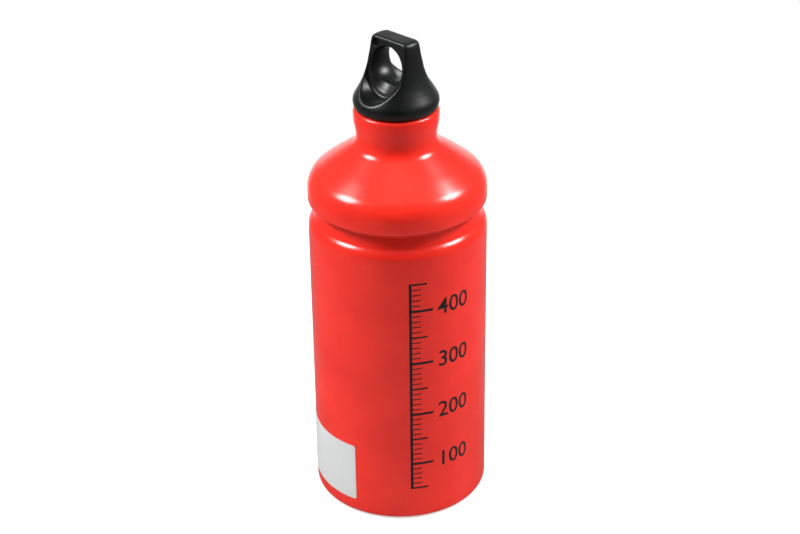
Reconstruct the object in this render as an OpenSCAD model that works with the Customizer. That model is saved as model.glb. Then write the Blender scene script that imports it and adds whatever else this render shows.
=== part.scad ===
// Camping fuel bottle: a seamless aluminium can with a screw-in loop stopper.
// Origin at the centre of the foot, on the standing plane. +Z up, millimetres.
// The loop's eye runs along Y, and the stopper is screwed home.

/* [Body] */
// Outside diameter of the body
body_d = 74; // [70:1:78]
// Wall of the body, base and shoulder
wall = 1.0; // [0.8:0.1:1.3]
// Height of the straight body, up to its corner with the fill groove
body_h = 126.8; // [90:0.1:180]
// Radius of the foot's outer edge
foot_round = 2.6; // [2:0.1:4]
// Depth of the hollow under the base
base_hollow = 2.7; // [1.5:0.1:5]
// Width of the ring that the bottle stands on, foot radius included
foot_ring = 6.2; // [5:0.1:8]

/* [Fill groove and shoulder] */
// Depth of the fill groove
groove_depth = 4.6; // [3:0.1:5.5]
// Rise from the body's corner to the bottom of the groove
groove_rise = 7.3; // [6:0.1:14]
// Depth and height of the step that rims the groove
rim_step = 2.2; // [1.6:0.1:2.8]
// Rise of the overhang from the bottom of the groove to the shoulder's lower corner
overhang_rise = 2.3; // [1.8:0.1:4]
// Radius where the straight body turns into the groove
rim_round = 5; // [3:0.1:8]
// Radius of the shoulder's lower corner
overhang_round = 2; // [1.4:0.1:2.5]
// Height of the shoulder's bulge between its two corners
bulge_h = 9.9; // [9:0.1:16]
// Radius of the bulge's upper corner
dome_round = 10.3; // [6:0.1:14]
// Height of the sloping shoulder above the bulge
dome_h = 15; // [12:0.1:18]
// How far the sloping shoulder stands above a straight cone
dome_crown = 0.3; // [0.1:0.1:1]

/* [Neck] */
// Outside diameter of the neck
neck_d = 33.1; // [32.4:0.1:34.2]
// Height of the neck from the shoulder's corner to the mouth
neck_h = 14.8; // [14:0.1:20]
// Radius between the shoulder and the neck
neck_round = 6.2; // [3:0.1:7]
// Outside diameter of the flared lip
lip_d = 35; // [34.6:0.1:37]
// Height of the flared lip
lip_h = 10.2; // [9.5:0.1:10.6]
// Height of the flare under the lip
lip_flare = 5.5; // [4:0.1:6]
// Radius of the lip's top edge
lip_round = 2; // [1:0.1:2.2]
// Diameter of the bore inside the neck
bore_d = 29; // [28:0.1:29.6]

/* [Screw thread] */
// Rise of the thread in one turn
thread_pitch = 4; // [3.4:0.1:4.4]
// Height of a thread ridge above its root
thread_h = 1.1; // [0.9:0.1:1.3]
// Gap between a ridge's crest and the root that it runs past
thread_gap = 0.4; // [0.3:0.05:0.5]
// Turns of the thread inside the neck, run-outs included
neck_turns = 2.2; // [1.6:0.1:2.3]
// Turns of the thread on the plug, run-outs included
plug_turns = 2.8; // [2:0.1:2.8]
// Depth of the plain relief above and below each thread
thread_relief = 0.4; // [0.3:0.05:0.5]

/* [Stopper] */
// Length of the plug below the skirt
plug_l = 16.2; // [15.8:0.1:22]
// Wall of the hollow plug
plug_wall = 2.5; // [1.8:0.1:3.5]
// Gap between the skirt and the mouth
seat_gap = 0.4; // [0.3:0.05:0.8]
// Height of the stopper above the skirt's lower face
stopper_h = 29.3; // [28:0.1:33]
// Diameter of the skirt at its widest
skirt_d = 34.9; // [34:0.1:37]
// Diameter of the loop's ends at the top
loop_d = 20.4; // [19:0.1:22]
// Thickness of the loop at the top
loop_t = 8.2; // [7:0.1:9.5]
// Draft of the loop's flat faces, in degrees
loop_draft = 7; // [3:0.5:8]
// Diameter of the eye through the loop, at its narrowest
eye_d = 14.4; // [12:0.1:15.4]
// Radius that rounds the eye out to both faces
eye_flare = 11.3; // [9:0.1:20]
// Thickness of the bar over the eye
bar_t = 3.8; // [3:0.1:6]
// Height of the skirt's widest point
skirt_h = 3.8; // [3.4:0.1:4.6]
// Radius of the skirt's widest edge
skirt_round = 3.6; // [2.5:0.1:4]
// Height of the waist, where the skirt runs into the loop
waist_h = 12.7; // [11:0.1:14]
// How far the waist lies inside the skirt's widest point
waist_in = 5; // [4:0.1:5.4]
// Radius of the hollow curve at the waist
waist_round = 27; // [10:1:35]
// Radius of the loop's top corners
loop_round = 2; // [1:0.1:3]
// Drop from the middle of the eye to the middle of the scoop
scoop_drop = 3.1; // [3:0.1:4.6]
// Radius of the scoop that uncovers the loop's face
scoop_r = 9.9; // [9.6:0.1:11.2]
// Thickness of the web left between the two dishes
web_t = 5; // [2:0.1:7]
// Diameter of the moulding mark on the loop's face
gate_d = 3.2; // [1.5:0.1:3.6]

/* [Seal ring] */
// Section diameter of the rubber ring
seal_d = 1.9; // [1.6:0.1:2.1]
// Gap kept between the ring and the pieces round it
seal_gap = 0.32; // [0.3:0.01:0.4]

/* [Label] */
// Width of the paper label along the body
label_w = 51; // [30:1:80]
// Height of the paper label
label_h = 27; // [15:1:40]
// Height of the label's lower edge above the ground
label_z = 6.9; // [5:0.1:30]
// Thickness of the paper
label_t = 0.1; // [0.08:0.01:0.2]
// Direction of the label's right edge round the bottle, in degrees
label_dir = -76.5; // [-180:0.5:0]

/* [Hidden] */
$fn = 96;
eps = 0.01;

body_r = body_d / 2;
neck_r = neck_d / 2;
lip_r = lip_d / 2;
bore_r = bore_d / 2;

// Heights up the bottle, each from the one below it
groove_z = body_h + groove_rise;
overhang_z = groove_z + overhang_rise;
dome_z = overhang_z + bulge_h;
neck_z = dome_z + dome_h;
mouth_z = neck_z + neck_h;
lip_z = mouth_z - lip_h;
skirt_z = mouth_z + seat_gap;
top_z = skirt_z + stopper_h;

// Crown of the shoulder, a soft corner part of the way from the bulge to the neck
crown_share = 0.44;
crown_r = body_r - crown_share * (body_r - neck_r);
crown_z = dome_z + crown_share * dome_h + dome_crown;
crown_round = 60;
crown_slope = (neck_z - crown_z) / (crown_r - neck_r);

groove_r = body_r - groove_depth;
groove_round = 0.9;
step_round = 2;
step_lead = 0.9;
// Largest fillet that the step's slope of 45 degrees has room for
rim_round_fit = (rim_step * sqrt(2) - step_lead) / tan(22.5);
foot_in_r = body_r - foot_ring;
hollow_edge = 3;
hollow_round = 2;
ring_round = 1.2;
lip_blend = 8;
lip_flat = 0.1;

// Largest fillet that the straight wall of the neck has room for
neck_turn = 90 - atan(crown_slope);
lip_lead = 1;
neck_round_fit = (lip_z - neck_z - lip_lead) / tan(neck_turn / 2);

// Screw thread, with the plug's ridge midway between the neck's turns. The pitch has
// thread_steps steps, of which the crest takes crest_steps and each flank flank_steps.
thread_steps = 24;
crest_steps = 5;
flank_steps = 4;
thread_step = thread_pitch / thread_steps;
sleeve_t = 1;
neck_lead = 2.7;
plug_lead = 1;
collar_step = 0.15;
plug_roof = 1.3;
mouth_r = bore_r + thread_relief;
plug_r = bore_r - thread_h - thread_gap;
plug_in_r = plug_r - plug_wall;
plug_foot_z = skirt_z - plug_l;
collar_r = plug_r + collar_step;
// A height moved to the nearest whole step of the thread below the mouth
function on_step(z) = mouth_z - round((mouth_z - z) / thread_step) * thread_step;
neck_thread_z = on_step(mouth_z - neck_lead - neck_turns * thread_pitch);
plug_thread_z = on_step(plug_foot_z + plug_lead);
collar_z = plug_thread_z + round(plug_turns * thread_steps) * thread_step;
plug_top_z = skirt_z + plug_roof;

// Seal ring, in a recess under the skirt and over the mouth's chamfer
seal_section_r = seal_d / 2;
seal_r = collar_r + seal_gap + seal_section_r;
recess_r = seal_r + seal_section_r + seal_gap;
recess_h = 1.2;
seal_z = skirt_z + recess_h - seal_gap - seal_section_r;
chamfer = (seal_section_r + seal_gap) * sqrt(2) - (mouth_r - seal_r) - (seal_z - mouth_z);

// Skirt and loop of the stopper
skirt_taper = 0.5;
skirt_edge = 0.6;
skirt_bow = 0.3;
eye_r = eye_d / 2;
eye_z = top_z - bar_t - eye_r;
gate_in = 3.8;
gate_drop = 2.7;
gate_deep = 0.8;
gate_x = gate_in - loop_d / 2;
gate_z = top_z - gate_drop;
scoop_z = eye_z - scoop_drop;
loop_foot_z = scoop_z - scoop_r;
// Half thickness of the loop at a height
function loop_half(z) = loop_t / 2 + (top_z - z) * tan(loop_draft);
dish_ledge = 0.4;
dish_r = scoop_r - dish_ledge;

// Unit vector from a to b
function unit(a, b) = (b - a) / norm(b - a);

// Left-hand normal of a direction in the plane
function left(d) = [-d.y, d.x];

// Points of the arc that rounds corner q between p and s. A zero radius keeps the corner.
function corner_arc(p, q, s, r, step = 6) =
    let (
        u = unit(q, p),
        w = unit(q, s),
        half = acos(u * w) / 2,
        c = q + unit([0, 0], u + w) * r / sin(half),
        a = q + u * r / tan(half) - c,
        turn = 180 - 2 * half,
        side = cross(u, w) > 0 ? -1 : 1,
        count = max(2, ceil(turn / step)),
        a0 = atan2(a.y, a.x)
    )
    r == 0 ? [q] : [for (k = [0:count])
        let (b = a0 + side * turn * k / count)
        c + r * [cos(b), sin(b)]];

// Path of [x, y, radius] corners with each inner corner rounded
function rounded(path) = [
    for (i = [0:len(path) - 1])
        let (q = [path[i].x, path[i].y])
        for (p = (i == 0 || i == len(path) - 1) ? [q] : corner_arc(
            [path[i - 1].x, path[i - 1].y], q, [path[i + 1].x, path[i + 1].y], path[i].z
        )) p
];

// The same path moved to its left by t, with its radii changed to suit
function moved(path, t) = [
    for (i = [0:len(path) - 1])
        let (
            q = [path[i].x, path[i].y],
            first = i == 0,
            last = i == len(path) - 1,
            d1 = first ? unit(q, [path[1].x, path[1].y]) : unit([path[i - 1].x, path[i - 1].y], q),
            d2 = last ? d1 : unit(q, [path[i + 1].x, path[i + 1].y]),
            n1 = left(d1),
            n2 = left(d2),
            p = q + t * (n1 + n2) / (1 + n1 * n2),
            turn = cross(d1, d2)
        )
        [p.x, p.y, path[i].z == 0 ? 0 : turn > 0 ? path[i].z - t : path[i].z + t]
];

// Corners of the outside from the middle of the base to the top of the bulge
can_path = [
    [0, base_hollow, 0],
    [foot_in_r - hollow_edge, base_hollow, hollow_round],
    [foot_in_r, 0, ring_round],
    [body_r, 0, foot_round],
    [body_r, body_h, min(rim_round, rim_round_fit)],
    [body_r - rim_step, body_h + rim_step, step_round],
    [groove_r, groove_z, groove_round],
    [body_r, overhang_z, overhang_round],
    [body_r, dome_z, dome_round],
    [crown_r, crown_z, crown_round],
    [neck_r, neck_z, min(neck_round, neck_round_fit)]
];
can_inside = moved(can_path, wall);
crown_in = can_inside[9];
bore_foot_z = crown_in.y + (crown_in.x - mouth_r) * crown_slope;

outside = concat(can_path, [
    [neck_r, lip_z, lip_blend],
    [lip_r, lip_z + lip_flare, lip_blend],
    [lip_r, mouth_z, min(lip_round, lip_r - mouth_r - chamfer - lip_flat)],
    [mouth_r + chamfer, mouth_z, 0]
]);
inside = concat([for (i = [0:9]) can_inside[i]], [
    [mouth_r, bore_foot_z, min(neck_round, neck_round_fit)],
    [mouth_r, mouth_z - chamfer, 0]
]);

function reversed(list) = [for (i = [len(list) - 1:-1:0]) list[i]];

// Height of the thread ridge at a share of the pitch: crest, flank, root, flank
function ridge_at(share) =
    let (w = abs(share - floor(share) - 0.5) * thread_steps, half_crest = crest_steps / 2)
    max(0, min(1, (half_crest + flank_steps - w) / flank_steps));

// Sleeve with a screw thread on the side that faces away from buried_r. The ridge climbs
// one step in height for each step in angle, and fades into the root at both ends.
module threaded_sleeve(buried_r, root_r, z0, turns, phase) {
    out = sign(root_r - buried_r);
    rows = round(turns * thread_steps);
    fade_rows = thread_steps / 3;
    columns = thread_steps;
    start = phase + (z0 - mouth_z) / thread_pitch;
    surface = [for (j = [0:rows], i = [0:columns - 1])
        let (
            fade = min(1, j / fade_rows, (rows - j) / fade_rows),
            r = root_r + out * thread_h * fade * ridge_at(start + j / thread_steps - i / columns),
            a = 360 * i / columns
        )
        [r * cos(a), r * sin(a), z0 + j * thread_step]];
    buried = [for (j = [0, rows], i = [0:columns - 1])
        let (a = 360 * i / columns)
        [buried_r * cos(a), buried_r * sin(a), z0 + j * thread_step]];
    base = len(surface);
    top = base + columns;
    // Two triangles between two rows of points
    function strip(low, high) = [for (i = [0:columns - 1])
        let (n = (i + 1) % columns)
        each [[low + i, high + n, low + n], [low + i, high + i, high + n]]];
    grid = [for (j = [0:rows - 1]) each strip(j * columns, (j + 1) * columns)];
    faces = concat(grid, strip(rows * columns, top), strip(top, base), strip(base, 0));
    polyhedron(
        points = concat(surface, buried),
        faces = out > 0 ? faces : [for (f = faces) reversed(f)],
        convexity = 8
    );
}

module bottle_shell() {
    color([0.86, 0.12, 0.08])
    union() {
        rotate_extrude()
            polygon(concat(rounded(outside), reversed(rounded(inside))));
        threaded_sleeve(bore_r + sleeve_t, bore_r, neck_thread_z, neck_turns, 0);
    }
}

// Skirt and handle as one turned bell, before the scoops
module bell() {
    rotate_extrude()
        polygon(rounded([
            [0, skirt_z, 0],
            [skirt_d / 2 - skirt_taper, skirt_z, skirt_edge],
            [skirt_d / 2 + skirt_bow, skirt_z + skirt_h, skirt_round],
            [skirt_d / 2 - waist_in, skirt_z + waist_h, waist_round],
            [loop_d / 2, top_z, loop_round],
            [0, top_z, 0]
        ]));
}

// Space in front of and behind the loop: a round scoop, open above
module scoops() {
    difference() {
        rotate([90, 0, 0])
            linear_extrude(height = skirt_d + 4, center = true)
                union() {
                    translate([0, scoop_z])
                        circle(r = scoop_r);
                    translate([-scoop_r, scoop_z])
                        square([2 * scoop_r, top_z - scoop_z + 1]);
                }
        rotate([90, 0, 90])
            linear_extrude(height = skirt_d, center = true)
                polygon([
                    [-loop_half(loop_foot_z - 1), loop_foot_z - 1],
                    [loop_half(loop_foot_z - 1), loop_foot_z - 1],
                    [loop_half(top_z + 2), top_z + 2],
                    [-loop_half(top_z + 2), top_z + 2]
                ]);
    }
}

module stopper() {
    color([0.06, 0.065, 0.07])
    union() {
        difference() {
            union() {
                bell();
                translate([0, 0, plug_foot_z])
                    cylinder(r = plug_r - thread_relief, h = skirt_z - plug_foot_z + 1);
                translate([0, 0, collar_z])
                    cylinder(r = collar_r, h = skirt_z - collar_z + 1);
            }
            scoops();
            // Eye through the loop
            translate([0, 0, eye_z])
                rotate([90, 0, 0])
                    rotate_extrude()
                        difference() {
                            translate([0, -loop_t])
                                square([eye_r + loop_t / 2, 2 * loop_t]);
                            translate([eye_r + eye_flare, 0])
                                circle(r = eye_flare);
                        }
            // Dished faces below the eye
            for (side = [-1, 1])
                translate([0, side * (web_t / 2 + dish_r), scoop_z])
                    sphere(r = dish_r);
            // Hollow of the plug
            translate([0, 0, plug_foot_z - 1])
                cylinder(r = plug_in_r, h = plug_top_z - plug_foot_z + 1);
            // Recess for the seal ring
            translate([0, 0, skirt_z - eps])
                difference() {
                    cylinder(r = recess_r, h = recess_h + eps);
                    cylinder(r = collar_r, h = recess_h + eps);
                }
            // Moulding mark in the corner of the loop's face
            translate([gate_x, -loop_half(gate_z) - 1, gate_z])
                rotate([-90, 0, 0])
                    cylinder(d = gate_d, h = gate_deep + 1);
        }
        threaded_sleeve(plug_r - sleeve_t, plug_r, plug_thread_z, plug_turns, 0.5);
    }
}

module seal_ring() {
    color([0.03, 0.03, 0.03])
    rotate_extrude()
        translate([seal_r, seal_z])
            circle(r = seal_section_r, $fn = 48);
}

module sticker() {
    label_angle = label_w / body_r * 180 / PI;
    paste = 0.02;
    color([0.97, 0.97, 0.96])
    rotate([0, 0, label_dir - label_angle])
        rotate_extrude(angle = label_angle)
            translate([body_r + paste, label_z])
                square([label_t, label_h]);
}

bottle_shell();
stopper();
seal_ring();
sticker();
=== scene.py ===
"""Looks of a camping fuel bottle, built round its CAD frame: an enamelled aluminium can with a fill groove,
a black moulded screw stopper with a carry loop, its rubber ring, a paper label and a printed filling scale.

Lengths are in metres and angles in degrees unless a name says otherwise. The bottle stands on z = 0 with its
axis on z, and the eye of the loop runs along y.
"""

import math

import bmesh
import bpy
from bpy.props import FloatProperty, FloatVectorProperty, IntProperty, PointerProperty
from bpy.types import Operator, Panel, PropertyGroup
from mathutils import Matrix, Vector


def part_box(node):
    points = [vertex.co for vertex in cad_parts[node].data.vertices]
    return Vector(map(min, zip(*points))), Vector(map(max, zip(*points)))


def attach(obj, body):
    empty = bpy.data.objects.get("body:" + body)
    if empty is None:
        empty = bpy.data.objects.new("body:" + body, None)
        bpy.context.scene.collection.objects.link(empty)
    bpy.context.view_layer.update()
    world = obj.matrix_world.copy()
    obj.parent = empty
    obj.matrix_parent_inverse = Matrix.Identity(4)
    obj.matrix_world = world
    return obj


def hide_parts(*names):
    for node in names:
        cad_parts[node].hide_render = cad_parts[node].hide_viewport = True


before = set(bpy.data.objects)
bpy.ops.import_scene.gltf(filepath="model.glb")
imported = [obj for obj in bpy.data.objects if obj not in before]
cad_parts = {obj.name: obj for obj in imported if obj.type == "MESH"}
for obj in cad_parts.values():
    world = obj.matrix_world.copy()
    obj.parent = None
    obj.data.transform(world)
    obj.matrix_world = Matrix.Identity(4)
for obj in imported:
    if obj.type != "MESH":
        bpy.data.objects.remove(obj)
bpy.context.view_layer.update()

bl_info = {
    "name": "Camping fuel bottle",
    "version": (1, 0, 0),
    "blender": (4, 5, 0),
    "location": "3D View > Sidebar > Fuel Bottle",
    "description": "Builds the can, stopper, seal, label and printed scale of a fuel bottle on its CAD frame",
    "category": "Object",
}

CAN_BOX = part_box("bottle_shell")
STOPPER_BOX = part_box("stopper")
MM = 0.001
# A millilitre in cubic metres
ML = 1e-6
AXIS = (0.0, 0.0, 1.0)
# Steps of a full turn: of a spun surface, of the thread's ridge and of the ring's section
ROUND_STEPS = 192
RIDGE_STEPS = 72
RING_STEPS = 24
# Degrees between two points of a rounded corner
ARC_STEP = 3.0
# Room that the enamel leaves inside the CAD box for the ink
PRINT_ROOM = 0.03 * MM
# Place of the shoulder's crown, as a share of the way from the body to the neck
CROWN_SHARE = 0.44
# Strength of one pass that smooths the stopper
SMOOTHING = 0.5
# Font size that makes a digit one unit high, and how far its strokes are swollen, as a share of that
FONT_SIZE = 1.4
FONT_WEIGHT = 0.012
# Where the surroundings change, as the cosine of the angle to the camera's side: the dark room, the white back
# and the fall of the ambient light
DARK_ROOM = (0.72, 0.92)
WHITE_BACK = (-0.93, -0.76)
LIGHT_FALL = (0.10, 0.90)


# Sizes and colours


def length(name, description, default):
    """A size in metres that a user can change."""
    return FloatProperty(
        name=name, description=description, default=default, min=0.0, unit="LENGTH", precision=5
    )


def angle(name, description, default):
    """An angle in degrees that a user can change."""
    return FloatProperty(name=name, description=description, default=default)


def colour(name, description, default):
    """A linear colour that a user can change."""
    return FloatVectorProperty(
        name=name, description=description, default=default, subtype="COLOR", size=3, min=0, max=1
    )


def share(name, description, default):
    """A number from 0 to 1 that a user can change."""
    return FloatProperty(
        name=name, description=description, default=default, min=0.0, max=1.0, subtype="FACTOR"
    )


def number(name, description, default):
    """A plain number that a user can change."""
    return FloatProperty(name=name, description=description, default=default)


def whole(name, description, default, least=0):
    """A whole number that a user can change."""
    return IntProperty(name=name, description=description, default=default, min=least)


class CanSizes(PropertyGroup):
    """Sizes of the enamelled can."""

    body_r: length("Body radius", "Outside radius of the straight body", CAN_BOX[1].x - PRINT_ROOM)
    height: length("Mouth height", "Height of the mouth above the ground", CAN_BOX[1].z)
    wall: length("Wall", "Wall of the body, base and shoulder", 1.0 * MM)
    body_h: length("Body height", "Height of the corner between body and fill groove", 126.8 * MM)
    foot_round: length("Foot radius", "Radius of the foot's outer edge", 2.6 * MM)
    base_hollow: length("Base hollow", "Depth of the hollow under the base", 2.7 * MM)
    foot_ring: length("Foot ring", "Width of the ring that the can stands on", 6.2 * MM)
    ring_round: length("Foot ring radius", "Radius of the foot ring's inner edge", 1.2 * MM)
    base_flank: length("Base flank", "Width of the slope from the foot ring to the hollow", 3.0 * MM)
    base_round: length("Base radius", "Radius where that slope meets the hollow", 2.0 * MM)
    groove_depth: length("Groove depth", "Depth of the fill groove", 4.6 * MM)
    groove_rise: length("Groove rise", "Rise from the body's corner to the bottom of the groove", 7.3 * MM)
    groove_round: length("Groove radius", "Radius at the bottom of the groove", 0.9 * MM)
    rim_step: length("Rim step", "Depth and height of the step that rims the groove", 2.2 * MM)
    step_round: length("Step radius", "Radius of the step's lower edge", 2.0 * MM)
    rim_round: length("Rim radius", "Radius where the body turns into the groove", 5.0 * MM)
    overhang_rise: length("Overhang rise", "Rise from the groove's bottom to the bulge", 2.3 * MM)
    overhang_round: length("Overhang radius", "Radius of the bulge's lower corner", 2.0 * MM)
    bulge_h: length("Bulge height", "Height of the shoulder's upright part", 9.9 * MM)
    dome_round: length("Dome radius", "Radius of the bulge's upper corner", 10.3 * MM)
    dome_crown: length("Shoulder crown", "How far the shoulder stands above a straight cone", 0.3 * MM)
    crown_round: length("Crown radius", "Radius of the shoulder's crown", 60.0 * MM)
    neck_r: length("Neck radius", "Outside radius of the neck", 16.55 * MM)
    neck_h: length("Neck height", "Height of the neck from the shoulder's corner to the mouth", 14.8 * MM)
    neck_round: length("Neck fillet", "Radius between shoulder and neck", 6.2 * MM)
    lip_r: length("Lip radius", "Outside radius of the flared lip", 17.5 * MM)
    lip_h: length("Lip height", "Height of the flared lip", 10.2 * MM)
    lip_flare: length("Lip flare", "Height of the flare under the lip", 5.5 * MM)
    flare_round: length("Flare radius", "Radius of the flare's two corners", 8.0 * MM)
    lip_flat: length("Lip flat", "Flat left between the lip's round edge and its chamfer", 0.1 * MM)
    mouth_r: length("Mouth radius", "Inside radius of the neck, at the thread's relief", 14.9 * MM)
    chamfer: length("Mouth chamfer", "Chamfer that the seal ring sits on", 0.986 * MM)
    thread_pitch: length("Thread pitch", "Rise of the thread in one turn", 4.0 * MM)
    thread_h: length("Thread height", "Height of the ridge above the relief", 1.5 * MM)
    thread_foot: length("Thread foot", "Height of the ridge's lower end", 164.6 * MM)
    thread_turns: number("Thread turns", "Turns of the ridge, run-outs included", 2.2)
    ridge_foot: share("Ridge foot", "Width of the ridge at the wall, as a share of the pitch", 0.54)
    ridge_crest: share("Ridge crest", "Width of the ridge's crest, as a share of the pitch", 0.21)
    ridge_buried: length("Ridge seat", "How far the ridge is buried in the wall", 0.5 * MM)


class StopperSizes(PropertyGroup):
    """Detail of the moulded stopper and its ring."""

    voxel: length("Voxel", "Cell size at which the moulding is remeshed", 0.32 * MM)
    smoothing: whole("Smoothing", "Passes that soften the moulding's edges", 5)
    loop_smoothing: whole("Loop smoothing", "More passes above the skirt", 26)
    loop_reach: length("Loop reach", "Depth below the top that the extra passes reach", 26.5 * MM)
    mark_inset: length("Mark inset", "Distance of the moulding mark's middle from the skirt's side", 11.0 * MM)
    mark_drop: length("Mark drop", "Depth of the moulding mark's middle below the top", 2.7 * MM)
    mark_room: length("Mark room", "Radius round the moulding mark that keeps its edges", 2.1 * MM)
    mark_r: length("Mark radius", "Radius of the moulding mark's matt recess", 1.85 * MM)
    ring_section: length("Ring section", "Section radius of the rubber ring", 0.95 * MM)


class PrintSizes(PropertyGroup):
    """Sizes of the label and of the printed scale."""

    label_corner: length("Label corner", "Corner radius of the paper label", 1.0 * MM)
    direction: angle("Scale direction", "Direction of the scale's upright line round the bottle", -37.0)
    first_z: length("Zero height", "Height that an empty can's scale starts from", 3.4 * MM)
    ink: length("Ink thickness", "Thickness of the printed ink", 0.02 * MM)
    ink_gap: length("Ink gap", "Gap that keeps the ink clear of the enamel", 0.006 * MM)
    first_ml: whole("First tick", "Millilitres at the lowest tick", 50)
    step_ml: whole("Step", "Millilitres between two ticks", 10, 5)
    last_ml: whole("Last tick", "Millilitres at the top tick", 450)
    line: length("Line width", "Width of the scale's upright line", 1.1 * MM)
    line_over: length("Line end", "How far the upright line runs past the end ticks", 0.4 * MM)
    long_tick: length("Long tick", "Length of a tick with a number", 9.0 * MM)
    digit_h: length("Digit height", "Height of the printed numbers", 7.4 * MM)
    digit_gap: length("Digit gap", "Space between a long tick and its number", 2.0 * MM)


class Finishes(PropertyGroup):
    """Colours of the finishes."""

    enamel: colour("Enamel", "Red of the gloss enamel", (0.87, 0.024, 0.011))
    enamel_deep: colour("Enamel, deep", "Red where the enamel lies thickest", (0.74, 0.017, 0.009))
    metal: colour("Bare metal", "Aluminium inside the neck and can", (0.78, 0.77, 0.75))
    plastic: colour("Plastic", "Black of the stopper", (0.0030, 0.0034, 0.0038))
    plastic_worn: colour("Plastic, worn", "Grey of the plastic's rubbed spots", (0.011, 0.012, 0.013))
    rubber: colour("Rubber", "Black of the seal ring", (0.012, 0.012, 0.012))
    paper: colour("Paper", "White of the label", (0.62, 0.635, 0.635))
    ink: colour("Ink", "Black of the printed scale", (0.005, 0.005, 0.006))
    floor: colour("Floor", "White of the table", (0.70, 0.70, 0.70))


class StageSizes(PropertyGroup):
    """Camera, table and lamps."""

    lens: number("Lens", "Focal length in millimetres on a 36 mm sensor", 82.9)
    distance: length("Distance", "From the camera to the point on the axis that it looks at", 773.7 * MM)
    aim_z: length("Aim height", "Height of the point that the camera looks at", 102.8 * MM)
    aim_side: length("Aim offset", "Distance of that point to the picture's right of the axis", 0.67 * MM)
    azimuth: angle("Camera azimuth", "Turn of the camera round the bottle", 45.0)
    pitch: angle("Camera pitch", "Angle at which the camera looks down", 28.33)
    roll: angle("Camera roll", "Turn of the camera about its own axis", -0.77)
    floor_r: length("Table radius", "Radius of the round white table", 0.30)
    lamp_power: number("Lamp power", "Watts of each side lamp", 5.4)
    top_power: number("Top power", "Watts of the lamp overhead", 2.6)
    ambient: share("Ambient", "Strength of the light from all round", 0.72)
    dark_side: share("Dark side", "Brightness of the dark room behind the camera, as gloss shows it", 0.03)
    wall_side: share("Walls", "Brightness of the room at the sides and overhead, as gloss shows it", 0.20)
    floor_gloss: share("Table in gloss", "Share of the table's brightness that gloss shows", 0.22)
    floor_lift: share("Table lift", "Light added to the table where the camera sees it", 0.50)
    front_light: share("Front light", "Share of the ambient light that comes from the camera's side", 0.36)


GROUPS = {
    "bottle_can": CanSizes,
    "bottle_stopper": StopperSizes,
    "bottle_print": PrintSizes,
    "bottle_finish": Finishes,
    "bottle_stage": StageSizes,
}


# Mesh helpers


def corner_arc(before, corner, after, radius):
    """Points of the arc that rounds a corner of a path. A zero radius keeps the corner."""
    if radius <= 0:
        return [corner]
    to_before = (before - corner).normalized()
    to_after = (after - corner).normalized()
    half = math.acos(max(-1.0, min(1.0, to_before.dot(to_after)))) / 2
    centre = corner + (to_before + to_after).normalized() * radius / math.sin(half)
    start = corner + to_before * radius / math.tan(half) - centre
    turn = math.pi - 2 * half
    side = 1 if to_before.cross(to_after) < 0 else -1
    count = max(2, math.ceil(math.degrees(turn) / ARC_STEP))
    return [centre + Matrix.Rotation(side * turn * k / count, 2) @ start for k in range(count + 1)]


def rounded(path):
    """Path of (x, y, radius) corners with every inner corner rounded."""
    corners = [Vector(p[:2]) for p in path]
    points = [corners[0]]
    for i in range(1, len(path) - 1):
        points += corner_arc(corners[i - 1], corners[i], corners[i + 1], path[i][2])
    return points + [corners[-1]]


def offset_inwards(path, wall):
    """The path moved to its left by a wall, with each radius changed to stay concentric."""
    moved = []
    for i, (x, y, radius) in enumerate(path):
        here = Vector((x, y))
        into = (here - Vector(path[i - 1][:2])).normalized() if i else None
        out = (Vector(path[i + 1][:2]) - here).normalized() if i + 1 < len(path) else into
        into = into or out
        normals = [Vector((-d.y, d.x)) for d in (into, out)]
        point = here + wall * (normals[0] + normals[1]) / (1 + normals[0].dot(normals[1]))
        change = -wall if into.cross(out) > 0 else wall
        moved.append((point.x, point.y, radius + change if radius else 0))
    return moved


def spun(bm, points, steps=ROUND_STEPS, closed=False):
    """Adds the surface that a path of (radius, height) points makes when it is turned once about z."""
    verts = [bm.verts.new((p[0], 0, p[1])) for p in points]
    pairs = list(zip(verts, verts[1:])) + ([(verts[-1], verts[0])] if closed else [])
    edges = [bm.edges.new(pair) for pair in pairs]
    bmesh.ops.spin(
        bm, geom=verts + edges, axis=AXIS, cent=(0, 0, 0), steps=steps, angle=math.tau, use_merge=True
    )
    bmesh.ops.remove_doubles(bm, verts=bm.verts, dist=0.001 * MM)
    bmesh.ops.recalc_face_normals(bm, faces=bm.faces)


def piece(name, bm, body, node, materials, smooth_angle=35.0):
    """Turns a bmesh into a finished piece that rides on a body and stands for a CAD node."""
    for face in bm.faces:
        face.smooth = True
    for edge in bm.edges:
        if len(edge.link_faces) == 2 and edge.calc_face_angle(0) > math.radians(smooth_angle):
            edge.smooth = False
    mesh = bpy.data.meshes.new(name)
    bm.to_mesh(mesh)
    bm.free()
    for material in materials:
        mesh.materials.append(material)
    made = bpy.data.objects.new(name, mesh)
    bpy.context.scene.collection.objects.link(made)
    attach(made, body)
    if node:
        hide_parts(node)
    return made


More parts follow.
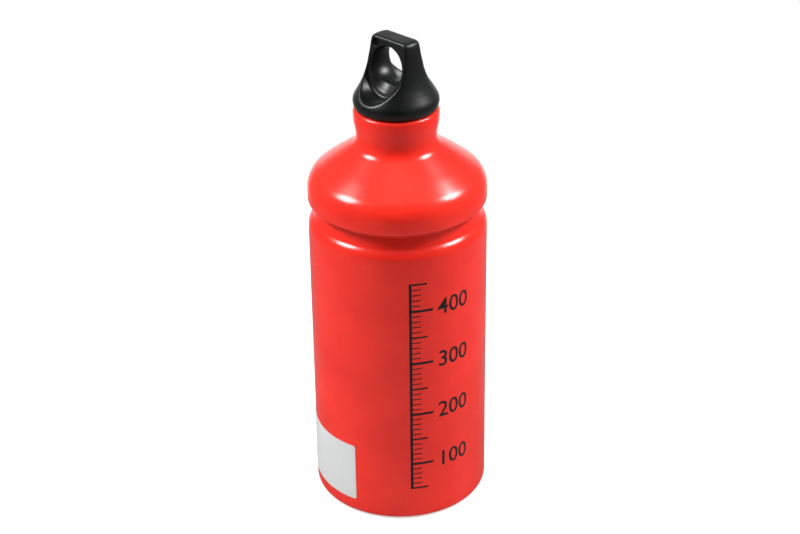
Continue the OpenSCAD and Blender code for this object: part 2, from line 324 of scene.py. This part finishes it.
def wrap_round(bm, radius, direction, thickness, strip=1.0 * MM):
    """Bends a flat drawing round the bottle and gives it thickness outwards.

    The drawing lies in the xy plane, with x along the circumference from the given direction and y as height.
    """
    reach = [v.co.x for v in bm.verts]
    cuts = int((max(reach) - min(reach)) / strip)
    for k in range(1, cuts + 1):
        everything = bm.verts[:] + bm.edges[:] + bm.faces[:]
        at = min(reach) + k * (max(reach) - min(reach)) / (cuts + 1)
        bmesh.ops.bisect_plane(bm, geom=everything, dist=1e-7, plane_co=(at, 0, 0), plane_no=(1, 0, 0))
    for v in bm.verts:
        turn = math.radians(direction) + v.co.x / radius
        v.co = Vector((radius * math.cos(turn), radius * math.sin(turn), v.co.y))
    bm.normal_update()
    bmesh.ops.solidify(bm, geom=bm.faces[:], thickness=-thickness)
    bmesh.ops.recalc_face_normals(bm, faces=bm.faces)


# Material helpers


def new_material(name):
    """An empty material and its node tree."""
    material = bpy.data.materials.new(name)
    material.use_nodes = True
    tree = material.node_tree
    tree.nodes.clear()
    return material, tree


def add(tree, kind, **settings):
    """A node with its attributes and, by socket name, its input values."""
    node = tree.nodes.new(kind)
    for key, value in settings.items():
        if key == "inputs":
            for socket, number in value.items():
                node.inputs[socket].default_value = number
        else:
            setattr(node, key, value)
    return node


def blend_colours(tree, factor, first, second):
    """A mix of two colours, each a linear colour or a socket. Returns the result's socket."""
    mix = add(tree, "ShaderNodeMix", data_type="RGBA")
    sockets = (("Factor", factor), ("A", first), ("B", second))
    for name, value in sockets:
        wanted = [s for s in mix.inputs if s.name == name and s.enabled][0]
        if isinstance(value, bpy.types.NodeSocket):
            tree.links.new(value, wanted)
        else:
            wanted.default_value = value if name == "Factor" else (*value, 1)
    return [s for s in mix.outputs if s.enabled][0]


def ranged(tree, value, low, high, start=0.0, end=1.0):
    """A value mapped from start..end to low..high and clamped. Returns the result's socket."""
    limits = {"From Min": start, "From Max": end, "To Min": low, "To Max": high}
    node = add(tree, "ShaderNodeMapRange", inputs=limits)
    tree.links.new(value, node.inputs["Value"])
    return node.outputs["Result"]


def group_tree(name, inputs, outputs):
    """A new shader node group with float or vector sockets, and its input and output nodes."""
    group = bpy.data.node_groups.new(name, "ShaderNodeTree")
    for socket, kind, default in inputs:
        made = group.interface.new_socket(socket, in_out="INPUT", socket_type=kind)
        if default is not None:
            made.default_value = default
    for socket, kind in outputs:
        group.interface.new_socket(socket, in_out="OUTPUT", socket_type=kind)
    return group, group.nodes.new("NodeGroupInput"), group.nodes.new("NodeGroupOutput")


def grain_group():
    """Two sizes of noise: a broad one for colour and gloss, and a fine one for the height of a bump."""
    if "surface_grain" in bpy.data.node_groups:
        return bpy.data.node_groups["surface_grain"]
    group, given, result = group_tree(
        "surface_grain",
        [
            ("Vector", "NodeSocketVector", None),
            ("Broad Scale", "NodeSocketFloat", 40.0),
            ("Fine Scale", "NodeSocketFloat", 600.0),
        ],
        [("Broad", "NodeSocketFloat"), ("Fine", "NodeSocketFloat")],
    )
    for name, detail, rough in (("Broad", 3.0, 0.55), ("Fine", 2.0, 0.5)):
        noise = add(group, "ShaderNodeTexNoise", inputs={"Detail": detail, "Roughness": rough})
        group.links.new(given.outputs["Vector"], noise.inputs["Vector"])
        group.links.new(given.outputs[name + " Scale"], noise.inputs["Scale"])
        group.links.new(noise.outputs["Fac"], result.inputs[name])
    return group


def scuff_group():
    """A mask of thin scuffs and dust specks."""
    if "fine_scuffs" in bpy.data.node_groups:
        return bpy.data.node_groups["fine_scuffs"]
    group, given, result = group_tree(
        "fine_scuffs",
        [
            ("Vector", "NodeSocketVector", None),
            ("Scale", "NodeSocketFloat", 90.0),
            ("Amount", "NodeSocketFloat", 0.5),
        ],
        [("Mask", "NodeSocketFloat")],
    )
    stretch = add(group, "ShaderNodeMapping", inputs={"Rotation": (0.5, 0.3, 0.9), "Scale": (1.0, 14.0, 3.0)})
    lines = add(group, "ShaderNodeTexNoise", inputs={"Detail": 4.0, "Roughness": 0.65})
    patches = add(group, "ShaderNodeTexNoise", inputs={"Scale": 55.0, "Detail": 1.0})
    group.links.new(given.outputs["Vector"], stretch.inputs["Vector"])
    group.links.new(stretch.outputs["Vector"], lines.inputs["Vector"])
    group.links.new(given.outputs["Scale"], lines.inputs["Scale"])
    group.links.new(given.outputs["Vector"], patches.inputs["Vector"])
    thin = ranged(group, lines.outputs["Fac"], 0.0, 1.0, 0.60, 0.72)
    where = ranged(group, patches.outputs["Fac"], 0.0, 1.0, 0.48, 0.66)
    both = add(group, "ShaderNodeMath", operation="MULTIPLY")
    group.links.new(thin, both.inputs[0])
    group.links.new(where, both.inputs[1])
    scaled = add(group, "ShaderNodeMath", operation="MULTIPLY", use_clamp=True)
    group.links.new(both.outputs[0], scaled.inputs[0])
    group.links.new(given.outputs["Amount"], scaled.inputs[1])
    group.links.new(scaled.outputs[0], result.inputs["Mask"])
    return group


def place_group(tree, group, vector, **values):
    """A placed node group with its vector linked and its values set."""
    node = add(tree, "ShaderNodeGroup", node_tree=group)
    tree.links.new(vector, node.inputs["Vector"])
    for name, value in values.items():
        node.inputs[name.replace("_", " ")].default_value = value
    return node


def toned(linear, factor):
    """A linear colour made darker or lighter by a factor."""
    return tuple(c * factor for c in linear)


def shader(tree, inputs, bump=None):
    """A wired Principled shader. Its bump is a height's socket, a distance and a strength."""
    principled = add(tree, "ShaderNodeBsdfPrincipled", inputs=inputs)
    out = add(tree, "ShaderNodeOutputMaterial")
    tree.links.new(principled.outputs["BSDF"], out.inputs["Surface"])
    if bump:
        height, distance, strength = bump
        node = add(tree, "ShaderNodeBump", inputs={"Distance": distance, "Strength": strength})
        tree.links.new(height, node.inputs["Height"])
        tree.links.new(node.outputs["Normal"], principled.inputs["Normal"])
    return principled


def enamel_material(finish):
    """Gloss red enamel: a little uneven in depth and colour, with the ripple of a baked coat."""
    material, tree = new_material("gloss_enamel")
    at = add(tree, "ShaderNodeTexCoord").outputs["Object"]
    grain = place_group(tree, grain_group(), at, Broad_Scale=38.0, Fine_Scale=420.0)
    scuffs = place_group(tree, scuff_group(), at, Scale=70.0, Amount=0.5)
    depth = ranged(tree, grain.outputs["Broad"], 0.0, 1.0, 0.30, 0.72)
    principled = shader(
        tree,
        bump=(grain.outputs["Fine"], 0.012 * MM, 0.55),
        inputs={"IOR": 1.45, "Coat Weight": 0.16, "Coat Roughness": 0.05, "Coat IOR": 1.45},
    )
    red = blend_colours(tree, depth, tuple(finish.enamel_deep), tuple(finish.enamel))
    tree.links.new(red, principled.inputs["Base Color"])
    gloss = ranged(tree, grain.outputs["Broad"], 0.19, 0.26)
    dull = add(tree, "ShaderNodeMath", operation="MULTIPLY_ADD", inputs={1: 0.16})
    tree.links.new(scuffs.outputs["Mask"], dull.inputs[0])
    tree.links.new(gloss, dull.inputs[2])
    tree.links.new(dull.outputs[0], principled.inputs["Roughness"])
    return material


def metal_material(finish):
    """Bare drawn aluminium, with fine turning lines round the axis."""
    material, tree = new_material("bare_aluminium")
    at = add(tree, "ShaderNodeTexCoord").outputs["Object"]
    turned = add(tree, "ShaderNodeMapping", inputs={"Scale": (0.02, 0.02, 6.0)})
    tree.links.new(at, turned.inputs["Vector"])
    lines = place_group(tree, grain_group(), turned.outputs["Vector"], Broad_Scale=120.0, Fine_Scale=900.0)
    grain = place_group(tree, grain_group(), at, Broad_Scale=60.0, Fine_Scale=700.0)
    principled = shader(tree, bump=(lines.outputs["Fine"], 0.01 * MM, 0.5), inputs={"Metallic": 1.0})
    dark = toned(finish.metal, 0.72)
    tone = blend_colours(tree, grain.outputs["Broad"], dark, tuple(finish.metal))
    tree.links.new(tone, principled.inputs["Base Color"])
    tree.links.new(ranged(tree, lines.outputs["Broad"], 0.26, 0.44), principled.inputs["Roughness"])
    return material


def plastic_material(finish):
    """Black moulded plastic: satin, finely grained and rubbed grey in places."""
    material, tree = new_material("moulded_plastic")
    at = add(tree, "ShaderNodeTexCoord").outputs["Object"]
    grain = place_group(tree, grain_group(), at, Broad_Scale=110.0, Fine_Scale=1500.0)
    scuffs = place_group(tree, scuff_group(), at, Scale=120.0, Amount=0.8)
    principled = shader(
        tree,
        bump=(grain.outputs["Fine"], 0.006 * MM, 0.5),
        inputs={"IOR": 1.48},
    )
    black = blend_colours(tree, scuffs.outputs["Mask"], tuple(finish.plastic), tuple(finish.plastic_worn))
    tree.links.new(black, principled.inputs["Base Color"])
    satin = ranged(tree, grain.outputs["Broad"], 0.32, 0.42, 0.3, 0.7)
    dull = add(tree, "ShaderNodeMath", operation="MULTIPLY_ADD", inputs={1: 0.15})
    tree.links.new(scuffs.outputs["Mask"], dull.inputs[0])
    tree.links.new(satin, dull.inputs[2])
    tree.links.new(dull.outputs[0], principled.inputs["Roughness"])
    return material


def matt_material(finish):
    """The stopper's plastic in its moulding mark, left matt where the mould was not polished, with painted
    shade darkening the recess.
    """
    material, tree = new_material("matt_plastic_shaded_recess")
    at = add(tree, "ShaderNodeTexCoord").outputs["Object"]
    grain = place_group(tree, grain_group(), at, Broad_Scale=150.0, Fine_Scale=1500.0)
    principled = shader(tree, inputs={"Roughness": 0.9, "IOR": 1.2})
    # Painted shade: the recess's black is darkened to as little as 0.6 of the plastic's, in noisy patches
    deep = toned(finish.plastic, 0.6)
    tone = blend_colours(tree, grain.outputs["Broad"], deep, tuple(finish.plastic))
    tree.links.new(tone, principled.inputs["Base Color"])
    return material


def rubber_material(finish):
    """Matt black rubber of the seal ring."""
    material, tree = new_material("seal_rubber_black")
    at = add(tree, "ShaderNodeTexCoord").outputs["Object"]
    grain = place_group(tree, grain_group(), at, Broad_Scale=200.0, Fine_Scale=1800.0)
    principled = shader(tree, bump=(grain.outputs["Fine"], 0.02 * MM, 0.6), inputs={"IOR": 1.5})
    mottle = ranged(tree, grain.outputs["Broad"], 0, 1, 0.4, 0.7)
    tone = blend_colours(tree, mottle, tuple(finish.rubber), toned(finish.rubber, 2.2))
    tree.links.new(tone, principled.inputs["Base Color"])
    tree.links.new(ranged(tree, grain.outputs["Broad"], 0.52, 0.66), principled.inputs["Roughness"])
    return material


def paper_material(finish):
    """Coated white paper with a faint fibre."""
    material, tree = new_material("coated_paper")
    at = add(tree, "ShaderNodeTexCoord").outputs["Object"]
    grain = place_group(tree, grain_group(), at, Broad_Scale=90.0, Fine_Scale=2200.0)
    principled = shader(tree, bump=(grain.outputs["Fine"], 0.01 * MM, 0.5), inputs={"IOR": 1.45})
    fibre = ranged(tree, grain.outputs["Broad"], 0, 1, 0.3, 0.7)
    tone = blend_colours(tree, fibre, toned(finish.paper, 0.955), tuple(finish.paper))
    tree.links.new(tone, principled.inputs["Base Color"])
    tree.links.new(ranged(tree, grain.outputs["Fine"], 0.40, 0.52), principled.inputs["Roughness"])
    return material


def ink_material(finish):
    """Black screen-printed ink, a touch less glossy than the enamel under it."""
    material, tree = new_material("printed_ink")
    at = add(tree, "ShaderNodeTexCoord").outputs["Object"]
    grain = place_group(tree, grain_group(), at, Broad_Scale=150.0, Fine_Scale=1300.0)
    principled = shader(tree, bump=(grain.outputs["Fine"], 0.004 * MM, 0.5), inputs={"IOR": 1.5})
    thin = ranged(tree, grain.outputs["Broad"], 0, 1, 0.45, 0.75)
    tone = blend_colours(tree, thin, tuple(finish.ink), toned(finish.ink, 2.0))
    tree.links.new(tone, principled.inputs["Base Color"])
    tree.links.new(ranged(tree, grain.outputs["Broad"], 0.20, 0.30), principled.inputs["Roughness"])
    return material


# The can


def can_paths(can):
    """Outside and inside paths of the can, from the middle of its base to its mouth."""
    groove_z = can.body_h + can.groove_rise
    overhang_z = groove_z + can.overhang_rise
    dome_z = overhang_z + can.bulge_h
    neck_z = can.height - can.neck_h
    lip_z = can.height - can.lip_h
    foot_in = can.body_r - can.foot_ring
    crown_r = can.body_r - CROWN_SHARE * (can.body_r - can.neck_r)
    crown_z = dome_z + CROWN_SHARE * (neck_z - dome_z) + can.dome_crown
    outer = [
        (0, can.base_hollow, 0),
        (foot_in - can.base_flank, can.base_hollow, can.base_round),
        (foot_in, 0, can.ring_round),
        (can.body_r, 0, can.foot_round),
        (can.body_r, can.body_h, can.rim_round),
        (can.body_r - can.rim_step, can.body_h + can.rim_step, can.step_round),
        (can.body_r - can.groove_depth, groove_z, can.groove_round),
        (can.body_r, overhang_z, can.overhang_round),
        (can.body_r, dome_z, can.dome_round),
        (crown_r, crown_z, can.crown_round),
        (can.neck_r, neck_z, can.neck_round),
    ]
    inner = offset_inwards(outer, can.wall)[:-1]
    slope = (neck_z - crown_z) / (crown_r - can.neck_r)
    bore_foot = inner[-1][1] + (inner[-1][0] - can.mouth_r) * slope
    rim_x = can.mouth_r + can.chamfer
    outside = outer + [
        (can.neck_r, lip_z, can.flare_round),
        (can.lip_r, lip_z + can.lip_flare, can.flare_round),
        (can.lip_r, can.height, can.lip_r - rim_x - can.lip_flat),
        (rim_x, can.height, 0),
    ]
    inside = inner + [(can.mouth_r, bore_foot, can.neck_round), (can.mouth_r, can.height - can.chamfer, 0)]
    return rounded(outside), rounded(inside)


def helical_ridge(bm, can):
    """Adds the rolled thread inside the neck: a ridge that climbs the bore and fades at both ends."""
    steps = round(can.thread_turns * RIDGE_STEPS)
    fade_steps = RIDGE_STEPS / 3
    rise = can.thread_pitch / RIDGE_STEPS
    root_r, buried_r = can.mouth_r, can.mouth_r + can.ridge_buried
    foot, crest = can.ridge_foot * can.thread_pitch, can.ridge_crest * can.thread_pitch
    middle_z = can.thread_foot + foot / 2

    def crest_r(k):
        fade = min(1.0, k / fade_steps, (steps - k) / fade_steps)
        return root_r - can.thread_h * fade

    lower = [(buried_r, -foot / 2), (root_r, -foot / 2), (crest_r(0), -crest / 2)]
    section = lower + [(r, -z) for r, z in reversed(lower)]
    ring = [bm.verts.new((r, 0, middle_z + z)) for r, z in section]
    edges = [bm.edges.new((a, b)) for a, b in zip(ring, ring[1:] + ring[:1])]
    bm.faces.new(ring)
    for k in range(1, steps + 1):
        made = bmesh.ops.extrude_edge_only(bm, edges=edges)["geom"]
        edges = [g for g in made if isinstance(g, bmesh.types.BMEdge)]
        verts = [g for g in made if isinstance(g, bmesh.types.BMVert)]
        turn = Matrix.Rotation(math.tau / RIDGE_STEPS, 3, "Z")
        bmesh.ops.rotate(bm, verts=verts, cent=(0, 0, 0), matrix=turn)
        bmesh.ops.translate(bm, verts=verts, vec=(0, 0, rise))
        for v in verts:
            on_crest = abs(v.co.z - middle_z - k * rise) < (foot + crest) / 4
            if on_crest:
                v.co.xy = v.co.xy.normalized() * crest_r(k)
    bmesh.ops.holes_fill(bm, edges=edges, sides=len(section))
    bmesh.ops.recalc_face_normals(bm, faces=bm.faces)


class BOTTLE_OT_can(Operator):
    """Spin the can from its profile, with its inside, its lip and the thread rolled into its neck"""

    bl_idname = "fuel_bottle.can"
    bl_label = "Enamelled can"

    def execute(self, context):
        can, finish = context.scene.bottle_can, context.scene.bottle_finish
        outside, inside = can_paths(can)
        bm = bmesh.new()
        spun(bm, outside + inside[::-1])
        for face in bm.faces:
            at = face.calc_center_median()
            radial = Vector((at.x, at.y, 0)).normalized()
            near_base = at.z < 2 * can.base_hollow and radial.dot(at) < can.body_r - 2 * can.wall
            floor = near_base and face.normal.z > 0.9
            facing_in = face.normal.dot(radial) < 0 and at.z > can.base_hollow
            face.material_index = 1 if floor or facing_in else 0
        ridge = bmesh.new()
        helical_ridge(ridge, can)
        for face in ridge.faces:
            face.material_index = 1
        mesh = bpy.data.meshes.new("ridge")
        ridge.to_mesh(mesh)
        ridge.free()
        bm.from_mesh(mesh)
        bpy.data.meshes.remove(mesh)
        materials = [enamel_material(finish), metal_material(finish)]
        piece("enamelled_can", bm, "bottle", "bottle_shell", materials)
        return {"FINISHED"}


# The stopper


def merged_copy(node):
    """A copy of a CAD node's mesh with its loose triangles joined, as an object of its own."""
    bm = bmesh.new()
    bm.from_mesh(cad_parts[node].data)
    bmesh.ops.remove_doubles(bm, verts=bm.verts, dist=0.002 * MM)
    mesh = bpy.data.meshes.new(node + "_copy")
    bm.to_mesh(mesh)
    bm.free()
    copy = bpy.data.objects.new(node + "_copy", mesh)
    bpy.context.scene.collection.objects.link(copy)
    return copy


def applied(source):
    """A bmesh of an object with its modifiers applied. The object is removed."""
    evaluated = source.evaluated_get(bpy.context.evaluated_depsgraph_get())
    bm = bmesh.new()
    bm.from_mesh(evaluated.to_mesh())
    evaluated.to_mesh_clear()
    mesh = source.data
    bpy.data.objects.remove(source)
    bpy.data.meshes.remove(mesh)
    return bm


class BOTTLE_OT_stopper(Operator):
    """Soften the stopper's machined edges into those of a moulding"""

    bl_idname = "fuel_bottle.stopper"
    bl_label = "Screw stopper"

    def execute(self, context):
        sizes, finish = context.scene.bottle_stopper, context.scene.bottle_finish
        copy = merged_copy("stopper")
        remesh = copy.modifiers.new("moulding", "REMESH")
        remesh.mode = "VOXEL"
        remesh.voxel_size = sizes.voxel
        smooth = copy.modifiers.new("soft_edges", "SMOOTH")
        smooth.factor, smooth.iterations = SMOOTHING, sizes.smoothing
        bm = applied(copy)
        low, high = STOPPER_BOX
        loop_foot = high.z - sizes.loop_reach
        mark = Vector((low.x + sizes.mark_inset, 0, high.z - sizes.mark_drop))
        loop = [v for v in bm.verts if v.co.z > loop_foot]
        loop = [v for v in loop if v.co.y > 0 or (v.co.xz - mark.xz).length > sizes.mark_room]
        for _ in range(sizes.loop_smoothing):
            bmesh.ops.smooth_vert(
                bm, verts=loop, factor=SMOOTHING, use_axis_x=True, use_axis_y=True, use_axis_z=True
            )
        for face in bm.faces:
            at = face.calc_center_median()
            # Faces in the moulding mark take the matt plastic, which carries painted shade for the recess
            in_mark = at.y < 0 and at.z > loop_foot and (at.xz - mark.xz).length < sizes.mark_r
            face.material_index = 1 if in_mark else 0
        materials = [plastic_material(finish), matt_material(finish)]
        piece("stopper_moulding", bm, "stopper", "stopper", materials, 180.0)
        return {"FINISHED"}


class BOTTLE_OT_seal(Operator):
    """Spin the rubber ring under the stopper's skirt"""

    bl_idname = "fuel_bottle.seal"
    bl_label = "Seal ring"

    def execute(self, context):
        section = context.scene.bottle_stopper.ring_section
        low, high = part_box("seal_ring")
        centre = Vector((high.x - section, (low.z + high.z) / 2))
        side = Vector((section, 0))
        points = [centre + Matrix.Rotation(math.tau * k / RING_STEPS, 2) @ side for k in range(RING_STEPS)]
        bm = bmesh.new()
        spun(bm, points, closed=True)
        material = rubber_material(context.scene.bottle_finish)
        piece("rubber_ring", bm, "seal", "seal_ring", [material])
        return {"FINISHED"}


# Label and print


def rectangle(bm, x, y, width, height):
    """Adds a flat rectangle with its lower left corner at x, y. Returns its vertices."""
    corners = [(x, y, 0), (x + width, y, 0), (x + width, y + height, 0), (x, y + height, 0)]
    verts = [bm.verts.new(c) for c in corners]
    bm.faces.new(verts)
    return verts


class BOTTLE_OT_label(Operator):
    """Lay the blank paper label round the foot of the body"""

    bl_idname = "fuel_bottle.label"
    bl_label = "Paper label"

    def execute(self, context):
        can, sizes = context.scene.bottle_can, context.scene.bottle_print
        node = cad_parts["sticker"].data
        turns = [math.atan2(v.co.y, v.co.x) for v in node.vertices]
        radii = [v.co.xy.length for v in node.vertices]
        low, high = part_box("sticker")
        start, width = min(turns), (max(turns) - min(turns)) * can.body_r
        bm = bmesh.new()
        corners = rectangle(bm, 0, low.z, width, high.z - low.z)
        bmesh.ops.bevel(
            bm, geom=corners, offset=sizes.label_corner, offset_type="OFFSET", segments=6, profile=0.5,
            affect="VERTICES", material=-1,
        )
        wrap_round(bm, can.body_r, math.degrees(start), max(radii) - can.body_r)
        material = paper_material(context.scene.bottle_finish)
        piece("paper_label", bm, "bottle", "sticker", [material])
        return {"FINISHED"}


def printed_number(bm, text, size, x, y):
    """Adds the flat faces of a number, its middle height at y."""
    curve = bpy.data.curves.new("number", "FONT")
    curve.body, curve.size = text, size * FONT_SIZE
    curve.align_x, curve.align_y = "LEFT", "CENTER"
    curve.offset = FONT_WEIGHT * size
    curve.resolution_u = 6
    made = bpy.data.objects.new("number", curve)
    bpy.context.scene.collection.objects.link(made)
    evaluated = made.evaluated_get(bpy.context.evaluated_depsgraph_get())
    mesh = bpy.data.meshes.new_from_object(evaluated)
    mesh.transform(Matrix.Translation((x, y, 0)))
    bm.from_mesh(mesh)
    bpy.data.objects.remove(made)
    bpy.data.curves.remove(curve)
    bpy.data.meshes.remove(mesh)


def tick_style(amount):
    """Length of a tick as a share of the longest, and its thickness: most at hundreds, less at fifties."""
    if amount % 100 == 0:
        return 1.0, 1.1 * MM
    if amount % 50 == 0:
        return 0.72, 0.8 * MM
    return 0.42, 0.45 * MM


class BOTTLE_OT_scale(Operator):
    """Print the filling scale: an upright line, ticks and plain numbers"""

    bl_idname = "fuel_bottle.scale"
    bl_label = "Printed scale"

    def execute(self, context):
        can, sizes = context.scene.bottle_can, context.scene.bottle_print
        rise = ML / (math.pi * (can.body_r - can.wall) ** 2)
        bm = bmesh.new()
        marks = range(sizes.first_ml, sizes.last_ml + 1, sizes.step_ml)
        for amount in marks:
            z = sizes.first_z + amount * rise
            reach, thick = tick_style(amount)
            rectangle(bm, 0, z - thick / 2, reach * sizes.long_tick, thick)
            if amount % 100 == 0:
                printed_number(bm, str(amount), sizes.digit_h, sizes.long_tick + sizes.digit_gap, z)
        low, high = (sizes.first_z + amount * rise for amount in (marks[0], marks[-1]))
        line_h = high - low + 2 * sizes.line_over
        rectangle(bm, -sizes.line, low - sizes.line_over, sizes.line, line_h)
        wrap_round(bm, can.body_r + sizes.ink_gap, sizes.direction, sizes.ink)
        material = ink_material(context.scene.bottle_finish)
        piece("scale_print", bm, "bottle", None, [material])
        return {"FINISHED"}


# The stage


def aim(thing, position, target, roll=0.0):
    """Puts a camera or lamp at a position, pointed at a target, turned about its own axis."""
    look = (Vector(target) - Vector(position)).to_track_quat("-Z", "Y").to_matrix().to_4x4()
    thing.matrix_world = Matrix.Translation(position) @ look @ Matrix.Rotation(roll, 4, "Z")


def around(azimuth, elevation, distance, centre=(0, 0, 0)):
    """A point round the bottle. Azimuth 0 is on -y, and larger ones are further to the right from there."""
    a, e = math.radians(azimuth), math.radians(elevation)
    away = Vector((math.sin(a) * math.cos(e), -math.cos(a) * math.cos(e), math.sin(e)))
    return Vector(centre) + away * distance


def add_camera(stage):
    """The photograph's camera."""
    data = bpy.data.cameras.new("camera")
    data.sensor_width, data.lens = 36.0, stage.lens
    data.clip_start, data.clip_end = 0.01, 100.0
    camera = bpy.data.objects.new("camera", data)
    bpy.context.scene.collection.objects.link(camera)
    a = math.radians(stage.azimuth)
    target = Vector((math.cos(a) * stage.aim_side, math.sin(a) * stage.aim_side, stage.aim_z))
    aim(camera, around(stage.azimuth, stage.pitch, stage.distance, target), target, math.radians(stage.roll))
    bpy.context.scene.camera = camera


def add_lamp(name, position, target, size, power, in_gloss=True):
    """A soft oval lamp, which gloss can be kept from showing."""
    data = bpy.data.lights.new(name, "AREA")
    data.shape, data.energy = "ELLIPSE", power
    data.size, data.size_y = size
    lamp = bpy.data.objects.new(name, data)
    lamp.visible_glossy = in_gloss
    bpy.context.scene.collection.objects.link(lamp)
    aim(lamp, position, target)


def add_floor(stage, finish):
    """A round white table. What the camera sees of it is lifted to white, and keeps the bottle's shadow."""
    bm = bmesh.new()
    bmesh.ops.create_circle(bm, cap_ends=True, segments=96, radius=stage.floor_r)
    mesh = bpy.data.meshes.new("table")
    bm.to_mesh(mesh)
    bm.free()
    material, tree = new_material("white_table")
    at = add(tree, "ShaderNodeTexCoord").outputs["Object"]
    grain = place_group(tree, grain_group(), at, Broad_Scale=12.0, Fine_Scale=300.0)
    white = add(tree, "ShaderNodeBsdfPrincipled", inputs={"IOR": 1.45})
    tone = blend_colours(tree, grain.outputs["Broad"], toned(finish.floor, 0.985), tuple(finish.floor))
    path = add(tree, "ShaderNodeLightPath")
    in_gloss = toned(finish.floor, stage.floor_gloss)
    tone = blend_colours(tree, path.outputs["Is Glossy Ray"], tone, in_gloss)
    tree.links.new(tone, white.inputs["Base Color"])
    tree.links.new(ranged(tree, grain.outputs["Broad"], 0.34, 0.40), white.inputs["Roughness"])
    lift = add(tree, "ShaderNodeEmission", inputs={"Color": (1, 1, 1, 1)})
    seen = add(tree, "ShaderNodeMath", operation="MULTIPLY", inputs={1: stage.floor_lift})
    tree.links.new(path.outputs["Is Camera Ray"], seen.inputs[0])
    tree.links.new(seen.outputs[0], lift.inputs["Strength"])
    total = add(tree, "ShaderNodeAddShader")
    out = add(tree, "ShaderNodeOutputMaterial")
    tree.links.new(white.outputs["BSDF"], total.inputs[0])
    tree.links.new(lift.outputs["Emission"], total.inputs[1])
    tree.links.new(total.outputs["Shader"], out.inputs["Surface"])
    mesh.materials.append(material)
    floor = bpy.data.objects.new("table", mesh)
    bpy.context.scene.collection.objects.link(floor)


def add_world(stage):
    """White surroundings, dimmer as a light than as a background, and a dark room in front for the gloss."""
    world = bpy.data.worlds.new("studio")
    bpy.context.scene.world = world
    world.use_nodes = True
    tree = world.node_tree
    tree.nodes.clear()
    way = add(tree, "ShaderNodeTexCoord").outputs["Generated"]
    side = around(stage.azimuth, 12.0, 1.0)
    towards = add(tree, "ShaderNodeVectorMath", operation="DOT_PRODUCT", inputs={1: tuple(side)})
    tree.links.new(way, towards.inputs[0])
    front = ranged(tree, towards.outputs["Value"], stage.wall_side, stage.dark_side, *DARK_ROOM)
    back = ranged(tree, towards.outputs["Value"], 1.0, 0.0, *WHITE_BACK)
    room = add(tree, "ShaderNodeMath", operation="MAXIMUM")
    tree.links.new(front, room.inputs[0])
    tree.links.new(back, room.inputs[1])
    path = add(tree, "ShaderNodeLightPath")
    clear = add(tree, "ShaderNodeMath", operation="MAXIMUM")
    tree.links.new(path.outputs["Is Camera Ray"], clear.inputs[0])
    tree.links.new(path.outputs["Is Transmission Ray"], clear.inputs[1])
    behind_camera = stage.ambient * stage.front_light
    light_round = ranged(tree, towards.outputs["Value"], stage.ambient, behind_camera, *LIGHT_FALL)
    ambient = add(tree, "ShaderNodeMix", data_type="FLOAT")
    tree.links.new(light_round, ambient.inputs["A"])
    tree.links.new(path.outputs["Is Glossy Ray"], ambient.inputs["Factor"])
    tree.links.new(room.outputs[0], ambient.inputs["B"])
    strength = add(tree, "ShaderNodeMath", operation="MAXIMUM")
    tree.links.new(clear.outputs[0], strength.inputs[0])
    tree.links.new(ambient.outputs["Result"], strength.inputs[1])
    light = add(tree, "ShaderNodeBackground", inputs={"Color": (1, 1, 1, 1)})
    out = add(tree, "ShaderNodeOutputWorld")
    tree.links.new(strength.outputs[0], light.inputs["Strength"])
    tree.links.new(light.outputs["Background"], out.inputs["Surface"])


class BOTTLE_OT_stage(Operator):
    """Set up the camera, the white table, the surroundings and the lamps"""

    bl_idname = "fuel_bottle.stage"
    bl_label = "Camera, table and lamps"

    def execute(self, context):
        scene = context.scene
        stage, finish = scene.bottle_stage, scene.bottle_finish
        scene.view_settings.view_transform = "Standard"
        add_camera(stage)
        add_floor(stage, finish)
        add_world(stage)
        middle = (0, 0, 0.11)
        lamp_size, lamp_distance = (0.30, 0.27), 0.75
        for name, turn, rise in (("lamp_left", -84.0, 45.0), ("lamp_right", 90.0, 44.0)):
            place = around(stage.azimuth + turn, rise, lamp_distance, middle)
            add_lamp(name, place, middle, lamp_size, stage.lamp_power)
        add_lamp("lamp_top", (0.05, -0.05, 1.1), middle, (0.7, 0.7), stage.top_power, in_gloss=False)
        return {"FINISHED"}


# Add-on


OPERATORS = (
    BOTTLE_OT_stage,
    BOTTLE_OT_can,
    BOTTLE_OT_stopper,
    BOTTLE_OT_seal,
    BOTTLE_OT_label,
    BOTTLE_OT_scale,
)


class BOTTLE_PT_panel(Panel):
    """Builds the bottle piece by piece"""

    bl_label = "Fuel bottle"
    bl_idname = "BOTTLE_PT_panel"
    bl_space_type = "VIEW_3D"
    bl_region_type = "UI"
    bl_category = "Fuel Bottle"

    def draw(self, context):
        for operator in OPERATORS:
            self.layout.operator(operator.bl_idname)
        for name, group in GROUPS.items():
            box = self.layout.box()
            box.label(text=group.__doc__)
            for key in group.__annotations__:
                box.prop(getattr(context.scene, name), key)


CLASSES = (*GROUPS.values(), *OPERATORS, BOTTLE_PT_panel)


def register():
    for cls in CLASSES:
        bpy.utils.register_class(cls)
    for name, group in GROUPS.items():
        setattr(bpy.types.Scene, name, PointerProperty(type=group))


def unregister():
    for name in GROUPS:
        delattr(bpy.types.Scene, name)
    for cls in reversed(CLASSES):
        bpy.utils.unregister_class(cls)


def main():
    register()
    for operator in OPERATORS:
        family, name = operator.bl_idname.split(".")
        getattr(getattr(bpy.ops, family), name)()


if __name__ == "__main__":
    main()
